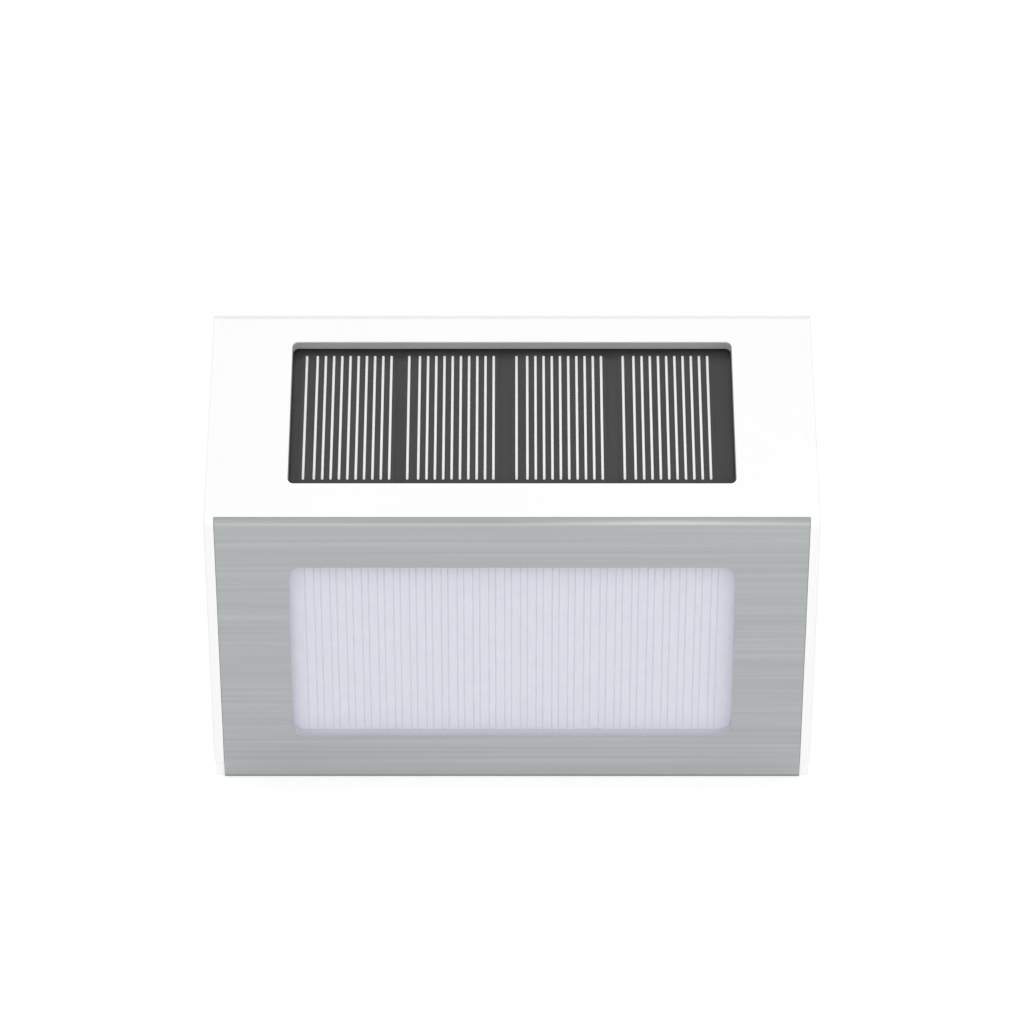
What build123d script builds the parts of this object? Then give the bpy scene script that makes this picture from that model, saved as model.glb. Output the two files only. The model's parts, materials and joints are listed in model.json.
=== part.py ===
"""Solar fence light: a wedge-topped housing with a steel front, hung on a screwed wall plate.

Millimetres. X runs along the width, Y into the wall and Z up. The wall is the plane Y = 0, and
the origin is midway between the two wall screws. Depths are measured out from the wall, so a
depth d lies at Y = -d. The base is base_drop below the origin.
"""

from build123d import *
from math import cos, pi, radians, sin, tan
import os

os.makedirs("parts", exist_ok=True)

# ---------------------------------------------------------------- driving dimensions
# casing
body_width = 120.0  # over the two cheeks
body_depth = 40.0  # wall to the steel's face
front_height = 57.4  # base to the corner where front and slope would meet
slope_angle = 35.0  # sloped top, from the horizontal
base_drop = 42.0  # wall screws' line down to the base
cheek_wall = 2.0
top_wall = 2.0
front_wall = 2.0
corner_radius = 2.0  # the bend between front and slope, outside
rear_edge = 2.0  # thickness of the back cover's flange, seen at the top edge
seam_width = 0.14  # fine seams that run up the slope in line with the cheeks' insides
seam_depth = 0.05

# steel front
steel_gauge = 0.5
tape_thickness = 0.2
steel_end_gap = 0.1  # between the bend's free edge and the housing's top
steel_side_gap = 0.05  # between the steel's sides and the cheeks
steel_edge_round = 0.12  # broken edges of the sheet, on its face
tape_inset = 0.1  # window's edge to the tape's

# lens window and lens
window_side = 14.1  # steel beside the window
window_rise = 9.6  # base to the window's lower edge
window_drop = 10.0  # corner line to the window's upper edge
window_corner = 2.3
lens_recess = 2.6  # steel's face to the lens's face
lens_floor = 1.2
lens_wall = 1.0
lens_flange = 2.2  # beyond the lens's walls
lens_flange_thickness = 0.8
lens_gasket_thickness = 0.3
lens_fit = 0.15
flute_width = 0.3
flute_depth = 0.15
flute_left = 3.1  # plain strip left of the first rib
flute_right = 1.8  # least plain strip right of the last rib
flute_end = 0.25  # window's lower and upper edges to the ribs' ends
flute_wide = 1.8  # a wide and a narrow rib repeat along the lens
flute_narrow = 1.33

# solar window and panel, in the plane of the slope
solar_side = 14.1  # housing beside the window
solar_start = 8.6  # corner line to the window's lower edge, up the slope
solar_end = 5.4  # window's upper edge to the slope's rear end
solar_corner = 1.2
solar_recess = 2.65  # slope's face to the panel's face
solar_lip = 0.3  # housing's own edge above the gasket
collar_wall = 0.8
laminate_thickness = 0.4
finger_thickness = 0.05
cell_thickness = 0.25
backing_thickness = 1.0
panel_overlap = 1.4  # panel's rim under the window's ends and sides
panel_top_overlap = 0.6  # less at the top, where the back cover is near
cell_count = 4
cell_gap = 2.1  # between cells
cell_end = 0.8  # window's ends to the cells' ends
cell_left = 1.77  # window's left edge to the first cell
cell_right = 3.73  # last cell to the window's right edge
cell_shifts = (0.0, -0.6, -0.2, 0.0)  # small steps off an even row
finger_count = 11
finger_width = 0.48
finger_side = 0.79  # cell's side to its first finger
finger_extra = 0.5  # the first gap is wider than the rest
finger_low = 2.55  # window's lower edge to the fingers' lower ends
finger_high = 1.39  # fingers' upper ends to the window's upper edge
frame_wall = 0.8
frame_ledge = 1.2
frame_ledge_width = 3.6
frame_fit = 0.1
frame_ear_radius = 2.2
frame_ear_reach = 2.6  # frame's side to the ear screws' line
frame_ear_inset = 6.0  # frame's ends to the ear screws
ear_boss_wall = 1.0  # housing left over the ear screws

# reflector and lamps
reflector_depth = 12.3
reflector_wall = 1.2
reflector_fit = 0.6
reflector_ear = 6.4
reflector_ear_radius = 2.6
reflector_ear_spacing = 24.0
reflector_boss_length = 7.3
lamp_count = 3
lamp_spacing = 28.0
lamp_radius = 2.4
lamp_flange_radius = 2.8
lamp_flange_thickness = 1.0
lamp_height = 6.4  # board's face to the dome's tip
lamp_hole_clearance = 0.2
lamp_leg_radius = 0.3
lamp_leg_pitch = 2.54
lamp_leg_tail = 1.2  # behind the board
board_thickness = 1.2
lamp_board_width = 72.0
lamp_board_height = 12.0
lamp_board_screw_spacing = 28.0
lamp_board_boss = 4.0
edge_round = 0.4  # outside edges of the housing and back cover
small_round = 0.25  # edges of the wall plate, battery door and plate recess

# back cover
base_wall = 2.0
base_rim = 3.4  # strip that shows below the cheeks
base_inset = 0.3
base_front_gap = 0.3  # steel's face back to the base's corners
cover_lip = 1.8
cover_lip_fit = 0.15
cover_lip_height = 2.0
cover_lip_depth = 3.0
recess_side = 10.0  # back cover's rim beside the plate recess
recess_drop = 14.0  # top edge to the recess
recess_rise = 5.8  # base to the recess
recess_depth = 3.0
pan_wall = 2.0
cover_screw_inset = 4.0  # cheek's inside to the screws' line
cover_screw_rise = 9.0  # base to the lower screws
cover_screw_drop = 18.0  # top edge to the upper screws
boss_radius = 3.0
cover_boss_depth = 6.0
cover_screw_radius = 1.2
cover_head_radius = 2.1
cover_head_height = 1.5
cover_screw_length = 14.0
head_sink = 0.6
head_clearance = 0.2
seal_width = 1.0
seal_depth = 0.6

# wall plate and its hooks
plate_thickness = 2.5
plate_gap = 0.4
plate_corner = 3.0
wall_screw_spacing = 72.0
wall_screw_radius = 2.0
wall_screw_head_radius = 3.7
lift_travel = 4.0
hook_side = 8.0  # recess's side to the hooks' middle
hook_rise = 16.2  # recess's lower edge to the lower hooks
hook_drop = 12.0  # recess's upper edge to the upper hooks
hook_width = 6.0
hook_post = 3.0
hook_lip = 3.0
hook_lip_thickness = 2.0
hook_play = 0.3
pocket_wall = 1.2
pocket_depth = 3.0

# battery bay, cell and door
battery_radius = 5.15
battery_length = 44.5
battery_nub_radius = 1.9
battery_nub = 0.8
battery_rise = 22.0  # base to the cell's axis
battery_play = 0.45
bay_wall = 1.4
bay_end = 7.7  # solid block at each end, which takes the door's screws
door_thickness = 1.6
door_seal_thickness = 0.4
door_overlap = 1.4
door_end_overlap = 6.7
door_fit = 0.2
door_corner = 1.5
grip_count = 5  # grooves for a finger on the door
grip_pitch = 2.4
grip_width = 1.0
grip_depth = 0.4
door_screw_radius = 0.95
door_screw_clearance = 0.15
door_screw_length = 5.0  # depth of its hole past the door's seat
door_screw_end_gap = 0.4
door_head_radius = 1.8
contact_gauge = 0.4
contact_width = 7.0
contact_height = 9.0
contact_tail = 1.5  # past the bay, where the leads are soldered
contact_tail_height = 2.0
contact_slot_play = 0.1
spring_wire = 0.3  # radius
spring_radius = 2.3
spring_turns = 3

# circuit board
board_width = 60.0
board_height = 24.0
board_gap = 3.6  # above the battery bay
board_standoff = 4.0
post_radius = 2.2
post_inset = (4.0, 3.0)  # board's edges to the posts
small_screw_radius = 0.9
small_head_radius = 1.7
small_head_height = 1.2
small_screw_bite = 3.0
pilot_extra = 1.0  # pilot holes run on past the screws' tips
chip_size = (8.0, 4.0, 1.5)
chip_leg_count = 4
chip_leg_pitch = 1.5
chip_leg_width = 0.4
chip_leg_length = 1.2
chip_leg_height = 0.5
chip_stand = 0.15  # body above the board
chip_x = -6.0
coil_radius = 3.5
coil_height = 4.2
coil_flange = 0.9
coil_groove = 1.0
coil_place = (10.0, 3.0)  # from the middle of the board
capacitor_place = (18.0, -4.0)
capacitor_radius = 2.5
capacitor_height = 7.0

# slide switch in the base
switch_side = 20.0  # cheek's inside to the switch's middle
switch_inset = 18.0  # steel's face to the switch's middle
switch_size = (8.8, 4.8, 4.0)
switch_play = 0.15
well_length = 13.0
well_width = 8.0
well_rise = 2.2
well_floor = 1.2
stem_length = 2.0
stem_width = 1.6
stem_height = 1.6  # inside the switch
switch_travel = 2.0
knob_length = 3.6
knob_width = 4.6
knob_height = 1.5
knob_sink = 0.4
knob_groove = 0.4
knob_groove_depth = 0.3
knob_groove_pitch = 1.0
slot_play = 0.25

# leads
lead_radius = 0.55
lead_bend = 2.0
lead_pitch = 2.6
lead_run = 5.0  # straight run square to what a lead is soldered to
battery_pad_inset = 12.0  # circuit board's ends to the battery leads' pads
lamp_pad_inset = 1.6  # lamp board's upper edge to its leads' pads

# ---------------------------------------------------------------- worked-out places
half_width = body_width / 2
inner_half = half_width - cheek_wall
base_z = -base_drop
corner_z = base_z + front_height
slope = radians(slope_angle)
slope_run = body_depth - rear_edge
top_z = corner_z + slope_run * tan(slope)
skirt_z = base_z + base_rim
bend_angle = 90.0 - slope_angle
bend_start_z = corner_z - corner_radius * tan(radians(bend_angle) / 2)
bend_reach = corner_radius * tan(radians(bend_angle) / 2)  # corner line to the bend's end

wall_front = body_depth - steel_gauge - tape_thickness  # depth of the front wall's face
wall_back = wall_front - front_wall
window_width = 2 * (inner_half - window_side)
window_height = front_height - window_rise - window_drop
window_z = base_z + window_rise + window_height / 2
lens_face = body_depth - lens_recess
lens_back = lens_face - lens_floor
flange_back = wall_front - lens_flange_thickness
lens_width = window_width + 2 * lens_wall
lens_height = window_height + 2 * lens_wall
flange_size = (lens_width + 2 * lens_flange, lens_height + 2 * lens_flange)

solar_width = 2 * (inner_half - solar_side)
solar_length = slope_run / cos(slope) - solar_start - solar_end
solar_mid = solar_start + solar_length / 2
panel_low = solar_start - panel_overlap
panel_high = solar_start + solar_length + panel_top_overlap
panel_mid = (panel_low + panel_high) / 2
panel_length = panel_high - panel_low
panel_width = solar_width + 2 * panel_overlap
laminate_base = solar_recess + laminate_thickness
cell_face = laminate_base + finger_thickness
backing_face = cell_face + cell_thickness
backing_base = backing_face + backing_thickness
frame_base = backing_base + frame_ledge
cell_pitch = (solar_width - cell_left - cell_right + cell_gap) / cell_count
cell_width = cell_pitch - cell_gap
cell_x = [
    -solar_width / 2 + cell_left + cell_width / 2 + k * cell_pitch + shift
    for k, shift in enumerate(cell_shifts)
]
finger_pitch = (cell_width - 2 * finger_side - finger_width - finger_extra) / (finger_count - 1)
frame_width = panel_width + 2 * (frame_wall + frame_fit)
frame_length = panel_length + 2 * (frame_wall + frame_fit)
frame_ear_x = frame_width / 2 + frame_ear_reach
frame_ear_v = [panel_mid + k * (frame_length / 2 - frame_ear_inset) for k in (-1, 1)]

reflector_back = wall_back - reflector_depth
reflector_inner = (lens_width + 2 * reflector_fit, lens_height + 2 * reflector_fit)
reflector_outer = tuple(size + 2 * reflector_wall for size in reflector_inner)
reflector_ear_x = reflector_outer[0] / 2 + reflector_ear / 2
reflector_boss_tip = wall_back - reflector_boss_length
reflector_ear_z = [window_z + k * reflector_ear_spacing / 2 for k in (-1, 1)]
lamp_board_back = reflector_back - board_thickness
lamp_x = [(k - (lamp_count - 1) / 2) * lamp_spacing for k in range(lamp_count)]

pan_back = recess_depth
pan_front = recess_depth + pan_wall
recess_width = body_width - 2 * recess_side
recess_top = top_z - recess_drop
recess_bottom = base_z + recess_rise
recess_z = (recess_top + recess_bottom) / 2
recess_height = recess_top - recess_bottom
plate_width = recess_width - 2 * plate_gap
plate_top = recess_top - plate_gap
plate_bottom = recess_bottom + plate_gap + lift_travel
cover_screw_x = inner_half - cover_screw_inset
cover_screw_z = (base_z + cover_screw_rise, top_z - cover_screw_drop)
cover_screws_at = [(x, z) for x in (-cover_screw_x, cover_screw_x) for z in cover_screw_z]
hook_x = recess_width / 2 - hook_side
hook_z = (recess_bottom + hook_rise, recess_top - hook_drop)
hooks_at = [(x, z) for x in (-hook_x, hook_x) for z in hook_z]

battery_z = base_z + battery_rise
bay_length = battery_length + spring_turns * 4 * spring_wire + 2 * contact_gauge + battery_play
bay_height = 2 * (battery_radius + battery_play)
door_seat = pan_back + door_thickness + door_seal_thickness
battery_depth = door_seat + battery_play + battery_radius
bay_floor = battery_depth + battery_radius + battery_play
door_length = bay_length + 2 * door_end_overlap
door_height = bay_height + 2 * door_overlap
door_screw_x = bay_length / 2 + door_end_overlap / 2
battery_x = -bay_length / 2 + contact_gauge + battery_play / 2

board_back = pan_front + board_standoff
board_front = board_back + board_thickness
board_z = battery_z + door_height / 2 + bay_wall + board_gap + board_height / 2
board_posts = [
    (k * (board_width / 2 - post_inset[0]), board_z + m * (board_height / 2 - post_inset[1]))
    for k in (-1, 1)
    for m in (-1, 1)
]

well_z = base_z + well_rise
switch_base = well_z + well_floor
switch_x = inner_half - switch_side
switch_depth = body_depth - switch_inset
switch_rest_x = switch_x - switch_travel / 2


# ---------------------------------------------------------------- shared shapes
def from_wall(depth):
    """Plane parallel to the wall at a depth, facing away from the wall: local x is X, local y is Z."""
    return Plane.XZ.offset(depth)


def on_slope(depth=0.0):
    """Plane parallel to the sloped top, a depth below it: local y runs up the slope from the corner."""
    top = Plane(origin=(0, -body_depth, corner_z), x_dir=(1, 0, 0), z_dir=(0, -sin(slope), cos(slope)))
    return top.offset(-depth)


def slab(x, z, width, height, back, front, corner=0.0, mode=Mode.ADD):
    """A block parallel to the wall between two depths, with its corners rounded in that plane."""
    with BuildSketch(from_wall(back)) as outline:
        with Locations((x, z)):
            if corner:
                RectangleRounded(width, height, corner)
            else:
                Rectangle(width, height)
    extrude(outline.sketch, amount=front - back, mode=mode)


def slope_slab(v, width, length, low, high, corner=0.0, x=0.0, mode=Mode.ADD):
    """A block parallel to the slope; low and high are depths under its face, v the place up it."""
    with BuildSketch(on_slope(low)) as outline:
        with Locations((x, v)):
            if corner:
                RectangleRounded(width, length, corner)
            else:
                Rectangle(width, length)
    extrude(outline.sketch, amount=low - high, mode=mode)


def rods(points, radius, back, front, mode=Mode.ADD):
    """Round rods square to the wall, between two depths, at (x, z) points."""
    with BuildSketch(from_wall(back)) as outline:
        with Locations(*points):
            Circle(radius)
    extrude(outline.sketch, amount=front - back, mode=mode)


def wedge(half, inset_front, inset_top, rear, bottom, mode=Mode.ADD):
    """The housing's side profile, drawn inside by the insets and extruded to both sides of X = 0."""
    front = -(body_depth - inset_front)
    rise = corner_z - inset_top / cos(slope)
    with BuildSketch(Plane.YZ) as profile:
        with BuildLine():
            Polyline(
                (-rear, bottom),
                (front, bottom),
                (front, rise + inset_front * tan(slope)),
                (-rear, rise + (body_depth - rear) * tan(slope)),
                close=True,
            )
        make_face()
    extrude(profile.sketch, amount=half, both=True, mode=mode)


def bent_sheet(half, inset, thickness, bottom, mode=Mode.ADD):
    """A sheet on the front that follows the bend up to the slope, inset below the front's face."""
    centre = (-(body_depth - corner_radius), bend_start_z)
    outer = corner_radius - inset
    inner = outer - thickness
    with BuildSketch(Plane.YZ) as profile:
        with BuildLine():
            face = Line((-(body_depth - inset), bottom), (-(body_depth - inset), bend_start_z))
            bend = CenterArc(centre, outer, 180, -bend_angle)
            back = CenterArc(centre, inner, 180 - bend_angle, bend_angle)
            rear = Line(back @ 1, (-(body_depth - inset - thickness), bottom))
            Line(bend @ 1, back @ 0)
            Line(rear @ 1, face @ 0)
        make_face()
    extrude(profile.sketch, amount=half, both=True, mode=mode)


def screws(points, tip, head_base, radius, head_radius, head_height, forward=True):
    """Pan-head screws square to the wall, with a cross recess; the head sits outside head_base."""
    side = -1 if forward else 1
    rods(points, radius, min(tip, head_base), max(tip, head_base))
    head_end = head_base + side * head_height
    rods(points, head_radius, min(head_base, head_end), max(head_base, head_end))
    slot = head_radius * 1.1
    cut_end = head_end - side * head_height * 0.6
    with BuildSketch(from_wall(min(head_end, cut_end))) as cross:
        with Locations(*points):
            Rectangle(slot, slot / 4)
            Rectangle(slot / 4, slot)
    extrude(cross.sketch, amount=abs(head_end - cut_end), mode=Mode.SUBTRACT)


def lead(points, radius=lead_radius):
    """An insulated wire along straight runs joined by tangent bends."""
    with BuildLine():
        path = FilletPolyline(*points, radius=lead_bend)
    with BuildSketch(Plane(origin=path @ 0, z_dir=path % 0)) as section:
        Circle(radius)
    sweep(section.sketch, path=path)


def at(x, depth, z):
    """A point from its place along the width, its depth from the wall and its height."""
    return (x, -depth, z)


def save(part, name):
    """Label a finished sub-part and write it."""
    part.label = name
    export_step(part, f"parts/{name}.step")


# ---------------------------------------------------------------- housing and steel front
def build_housing():
    with BuildPart() as housing:
        wedge(half_width, 0, 0, rear_edge, skirt_z)
        corner = housing.edges().filter_by(Axis.X).group_by(Axis.Y)[0].sort_by(Axis.Z)[-1]
        fillet(corner, corner_radius)
        sides = housing.faces().filter_by(Axis.X).edges().filter_by(
            lambda edge: edge.center().Y < -rear_edge - edge_round and edge.center().Z > skirt_z + edge_round
        )
        fillet(sides, edge_round)
        wedge(inner_half, body_depth - wall_back, top_wall, rear_edge, skirt_z, mode=Mode.SUBTRACT)
        # recess for the tape and the steel, which ends where the bend meets the slope
        bent_sheet(inner_half, 0, steel_gauge + tape_thickness, skirt_z, mode=Mode.SUBTRACT)
        slope_slab(
            bend_reach, body_width - 2 * cheek_wall, 2 * steel_end_gap,
            0, steel_gauge + tape_thickness, mode=Mode.SUBTRACT,
        )
        # seams between the slope and the cheeks, from the steel's end to the rear
        seam_start = bend_reach + steel_end_gap
        start = (0, -body_depth + seam_start * cos(slope), corner_z + seam_start * sin(slope))
        with BuildSketch(Plane(origin=start, x_dir=(1, 0, 0), z_dir=(0, cos(slope), sin(slope)))):
            for x in (-inner_half, inner_half):
                with Locations((x, 0)):
                    Polygon(
                        (-seam_width / 2, 0), (-seam_width / 2, -seam_depth), (seam_width / 2, -seam_depth),
                        (seam_width / 2, 0), (0, seam_depth), align=None,
                    )
        extrude(amount=slope_run / cos(slope), mode=Mode.SUBTRACT)
        # lens opening, and the rebate that its flange and gasket lie in
        slab(0, window_z, lens_width + 2 * lens_fit, lens_height + 2 * lens_fit,
             wall_back, wall_front, window_corner + lens_wall, mode=Mode.SUBTRACT)
        slab(0, window_z, flange_size[0] + 2 * lens_fit, flange_size[1] + 2 * lens_fit,
             flange_back - lens_gasket_thickness, wall_front, window_corner + lens_wall, mode=Mode.SUBTRACT)
        # solar window: a thin lip at the face, wider below it for the gasket's collar
        slope_slab(solar_mid, solar_width, solar_length, top_wall, 0, solar_corner, mode=Mode.SUBTRACT)
        slope_slab(solar_mid, solar_width + 2 * collar_wall, solar_length + 2 * collar_wall,
                   top_wall, solar_lip, solar_corner + collar_wall, mode=Mode.SUBTRACT)
        # bosses: four for the back cover, four for the reflector, four for the panel's frame
        rods(cover_screws_at, boss_radius, cover_boss_depth, wall_back)
        rods([(k * reflector_ear_x, z) for k in (-1, 1) for z in reflector_ear_z],
             reflector_ear_radius, reflector_boss_tip, wall_back)
        for x in (-frame_ear_x, frame_ear_x):
            for v in frame_ear_v:
                with BuildSketch(on_slope(backing_base)):
                    with Locations((x, v)):
                        Circle(frame_ear_radius)
                extrude(amount=backing_base - ear_boss_wall)
        # nothing stands out through the slope
        with BuildSketch(Plane.YZ):
            with BuildLine():
                Polyline(
                    (-body_depth, corner_z),
                    (-rear_edge, top_z),
                    (-rear_edge, top_z + boss_radius * 4),
                    (-body_depth, top_z + boss_radius * 4),
                    close=True,
                )
            make_face()
        extrude(amount=half_width, both=True, mode=Mode.SUBTRACT)
        # pilot holes
        rods(cover_screws_at, cover_screw_radius, cover_boss_depth,
             cover_screw_length + head_sink + pilot_extra, Mode.SUBTRACT)
        rods([(k * reflector_ear_x, z) for k in (-1, 1) for z in reflector_ear_z], small_screw_radius,
             reflector_boss_tip, reflector_boss_tip + small_screw_bite + pilot_extra, Mode.SUBTRACT)
        for x in (-frame_ear_x, frame_ear_x):
            for v in frame_ear_v:
                with BuildSketch(on_slope(backing_base)):
                    with Locations((x, v)):
                        Circle(small_screw_radius)
                extrude(amount=backing_base - ear_boss_wall, mode=Mode.SUBTRACT)
    save(housing.part, "housing")


def build_front_plate():
    with BuildPart() as front_plate:
        bent_sheet(inner_half - steel_side_gap, 0, steel_gauge, base_z)
        slab(0, window_z, window_width, window_height,
             wall_front, body_depth, window_corner, mode=Mode.SUBTRACT)
        face = front_plate.faces().filter_by(Axis.Y).sort_by(Axis.Y)[0]
        fillet(face.edges().sort_by(Axis.Z)[:-1], steel_edge_round)
    save(front_plate.part, "front_plate")


def build_plate_tape():
    tape_width = 2 * inner_half - 2 * lens_flange
    tape_low = skirt_z + lens_flange / 2
    tape_high = bend_start_z - steel_end_gap
    with BuildPart() as plate_tape:
        slab(0, (tape_low + tape_high) / 2, tape_width, tape_high - tape_low,
             wall_front, wall_front + tape_thickness)
        slab(0, window_z, window_width + 2 * tape_inset, window_height + 2 * tape_inset,
             wall_front, wall_front + tape_thickness, window_corner + tape_inset, mode=Mode.SUBTRACT)
    save(plate_tape.part, "plate_tape")


# ---------------------------------------------------------------- lens
def build_lens():
    period = flute_wide + flute_narrow
    pairs = int((window_width - flute_left - flute_right) / period)
    first = -window_width / 2 + flute_left
    grooves = [first + k * period for k in range(pairs + 1)]
    grooves += [first + k * period + flute_wide for k in range(pairs)]
    with BuildPart() as lens:
        slab(0, window_z, *flange_size, flange_back, wall_front, window_corner + lens_wall)
        slab(0, window_z, lens_width, lens_height, lens_back, wall_front, window_corner + lens_wall)
        slab(0, window_z, window_width, window_height,
             lens_face, wall_front, window_corner, mode=Mode.SUBTRACT)
        with BuildSketch(Plane.XY.offset(window_z - window_height / 2 + flute_end)):
            with Locations(*[(x, -lens_face) for x in grooves]):
                Rectangle(flute_width * 0.7071, flute_depth * 1.4142, rotation=45)
        extrude(amount=window_height - 2 * flute_end, mode=Mode.SUBTRACT)
    save(lens.part, "lens")


def build_lens_gasket():
    with BuildPart() as lens_gasket:
        gasket_back = flange_back - lens_gasket_thickness
        slab(0, window_z, *flange_size, gasket_back, flange_back, window_corner + lens_wall)
        slab(0, window_z, lens_width + 2 * lens_fit, lens_height + 2 * lens_fit,
             gasket_back, flange_back, window_corner + lens_wall, mode=Mode.SUBTRACT)
    save(lens_gasket.part, "lens_gasket")


# ---------------------------------------------------------------- solar panel
def build_panel_gasket():
    with BuildPart() as panel_gasket:
        slope_slab(solar_mid, solar_width + 2 * collar_wall, solar_length + 2 * collar_wall,
                   top_wall, solar_lip, solar_corner + collar_wall)
        slope_slab(panel_mid, panel_width, panel_length, solar_recess, top_wall)
        slope_slab(solar_mid, solar_width, solar_length,
                   solar_recess, solar_lip, solar_corner, mode=Mode.SUBTRACT)
    save(panel_gasket.part, "panel_gasket")


def build_solar_laminate():
    with BuildPart() as solar_laminate:
        slope_slab(panel_mid, panel_width, panel_length, laminate_base, solar_recess)
    save(solar_laminate.part, "solar_laminate")


def build_cell_fingers():
    finger_length = solar_length - finger_low - finger_high
    middle = solar_start + finger_low + finger_length / 2
    with BuildPart() as cell_fingers:
        for cell in cell_x:
            first = cell - cell_width / 2 + finger_side + finger_width / 2
            for k in range(finger_count):
                x = first + k * finger_pitch + (k > 0) * finger_extra
                slope_slab(middle, finger_width, finger_length, cell_face, laminate_base, x=x)
    save(cell_fingers.part, "cell_fingers")


def build_solar_cells():
    with BuildPart() as solar_cells:
        for cell in cell_x:
            slope_slab(solar_mid, cell_width, solar_length - 2 * cell_end, backing_face, cell_face, x=cell)
    save(solar_cells.part, "solar_cells")


def build_solar_backing():
    with BuildPart() as solar_backing:
        slope_slab(panel_mid, panel_width, panel_length, backing_base, backing_face)
    save(solar_backing.part, "solar_backing")


def build_panel_frame():
    with BuildPart() as panel_frame:
        slope_slab(panel_mid, frame_width, frame_length, frame_base, top_wall, frame_wall)
        for x in (-frame_ear_x, frame_ear_x):
            for v in frame_ear_v:
                slope_slab(v, frame_ear_reach + frame_wall, 2 * frame_ear_radius, frame_base, backing_base,
                           x=x - (frame_ear_reach - frame_wall) / 2 * (1 if x > 0 else -1))
                with BuildSketch(on_slope(frame_base)):
                    with Locations((x, v)):
                        Circle(frame_ear_radius)
                extrude(amount=frame_ledge)
        slope_slab(panel_mid, panel_width + 2 * frame_fit, panel_length + 2 * frame_fit,
                   backing_base, top_wall, mode=Mode.SUBTRACT)
        slope_slab(panel_mid, panel_width - 2 * frame_ledge_width, panel_length - 2 * frame_ledge_width,
                   frame_base, backing_base, mode=Mode.SUBTRACT)
        for x in (-frame_ear_x, frame_ear_x):
            for v in frame_ear_v:
                with BuildSketch(on_slope(frame_base)):
                    with Locations((x, v)):
                        Circle(small_screw_radius)
                extrude(amount=frame_ledge, mode=Mode.SUBTRACT)
    save(panel_frame.part, "panel_frame")


def build_frame_screws():
    tip = backing_base - small_screw_bite * 0.75
    head_end = frame_base + small_head_height
    slot = small_head_radius * 1.1
    with BuildPart() as frame_screws:
        for x in (-frame_ear_x, frame_ear_x):
            for v in frame_ear_v:
                with BuildSketch(on_slope(frame_base)):
                    with Locations((x, v)):
                        Circle(small_screw_radius)
                extrude(amount=frame_base - tip)
                with BuildSketch(on_slope(head_end)):
                    with Locations((x, v)):
                        Circle(small_head_radius)
                extrude(amount=small_head_height)
                with BuildSketch(on_slope(head_end)):
                    with Locations((x, v)):
                        Rectangle(slot, slot / 4)
                        Rectangle(slot / 4, slot)
                extrude(amount=small_head_height * 0.6, mode=Mode.SUBTRACT)
    save(frame_screws.part, "frame_screws")


# ---------------------------------------------------------------- reflector and lamps
def build_reflector():
    ear_reach = reflector_ear_x - reflector_outer[0] / 2
    ears = [(k * reflector_ear_x, z) for k in (-1, 1) for z in reflector_ear_z]
    lamp_board_screws = [(k * lamp_board_screw_spacing / 2, window_z) for k in (-1, 1)]
    with BuildPart() as reflector:
        slab(0, window_z, *reflector_outer, reflector_back, wall_back, window_corner + reflector_wall)
        for x, z in ears:
            slab(x - ear_reach / 2 * (1 if x > 0 else -1), z,
                 ear_reach + reflector_wall, 2 * reflector_ear_radius,
                 reflector_boss_tip - reflector_wall, reflector_boss_tip)
        rods(ears, reflector_ear_radius, reflector_boss_tip - reflector_wall, reflector_boss_tip)
        slab(0, window_z, *reflector_inner, reflector_back + reflector_wall, wall_back,
             window_corner, mode=Mode.SUBTRACT)
        rods(lamp_board_screws, post_radius, reflector_back + reflector_wall,
             reflector_back + reflector_wall + lamp_board_boss)
        rods([(x, window_z) for x in lamp_x], lamp_flange_radius + lamp_hole_clearance,
             reflector_back, reflector_back + reflector_wall, Mode.SUBTRACT)
        rods(ears, small_screw_radius, reflector_boss_tip - reflector_wall, reflector_boss_tip, Mode.SUBTRACT)
        rods(lamp_board_screws, small_screw_radius, reflector_back,
             reflector_back + small_screw_bite + pilot_extra, Mode.SUBTRACT)
    save(reflector.part, "reflector")


def build_reflector_screws():
    with BuildPart() as reflector_screws:
        screws([(k * reflector_ear_x, z) for k in (-1, 1) for z in reflector_ear_z],
               reflector_boss_tip + small_screw_bite, reflector_boss_tip - reflector_wall,
               small_screw_radius, small_head_radius, small_head_height)
    save(reflector_screws.part, "reflector_screws")


def lamp_legs():
    """Places of the legs of every lamp."""
    return [(x + k * lamp_leg_pitch / 2, window_z) for x in lamp_x for k in (-1, 1)]


def build_lamp_board():
    with BuildPart() as lamp_board:
        slab(0, window_z, lamp_board_width, lamp_board_height, lamp_board_back, reflector_back, 1.0)
        rods(lamp_legs(), lamp_leg_radius, lamp_board_back, reflector_back, Mode.SUBTRACT)
        rods([(k * lamp_board_screw_spacing / 2, window_z) for k in (-1, 1)], small_screw_radius,
             lamp_board_back, reflector_back, Mode.SUBTRACT)
    save(lamp_board.part, "lamp_board")


def build_lamps():
    shoulder = lamp_height - lamp_radius
    with BuildPart() as lamps:
        for x in lamp_x:
            with BuildSketch(Plane(origin=at(x, reflector_back, window_z), x_dir=(1, 0, 0), z_dir=(0, 0, 1))):
                with BuildLine():
                    rim = Polyline(
                        (0, 0), (lamp_flange_radius, 0), (lamp_flange_radius, -lamp_flange_thickness),
                        (lamp_radius, -lamp_flange_thickness), (lamp_radius, -shoulder),
                    )
                    dome = CenterArc((0, -shoulder), lamp_radius, 0, -90)
                    Line(dome @ 1, rim @ 0)
                make_face()
            revolve(axis=Axis(origin=at(x, reflector_back, window_z), direction=(0, 1, 0)))
        rods(lamp_legs(), lamp_leg_radius, lamp_board_back - lamp_leg_tail, reflector_back)
    save(lamps.part, "lamps")


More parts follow.
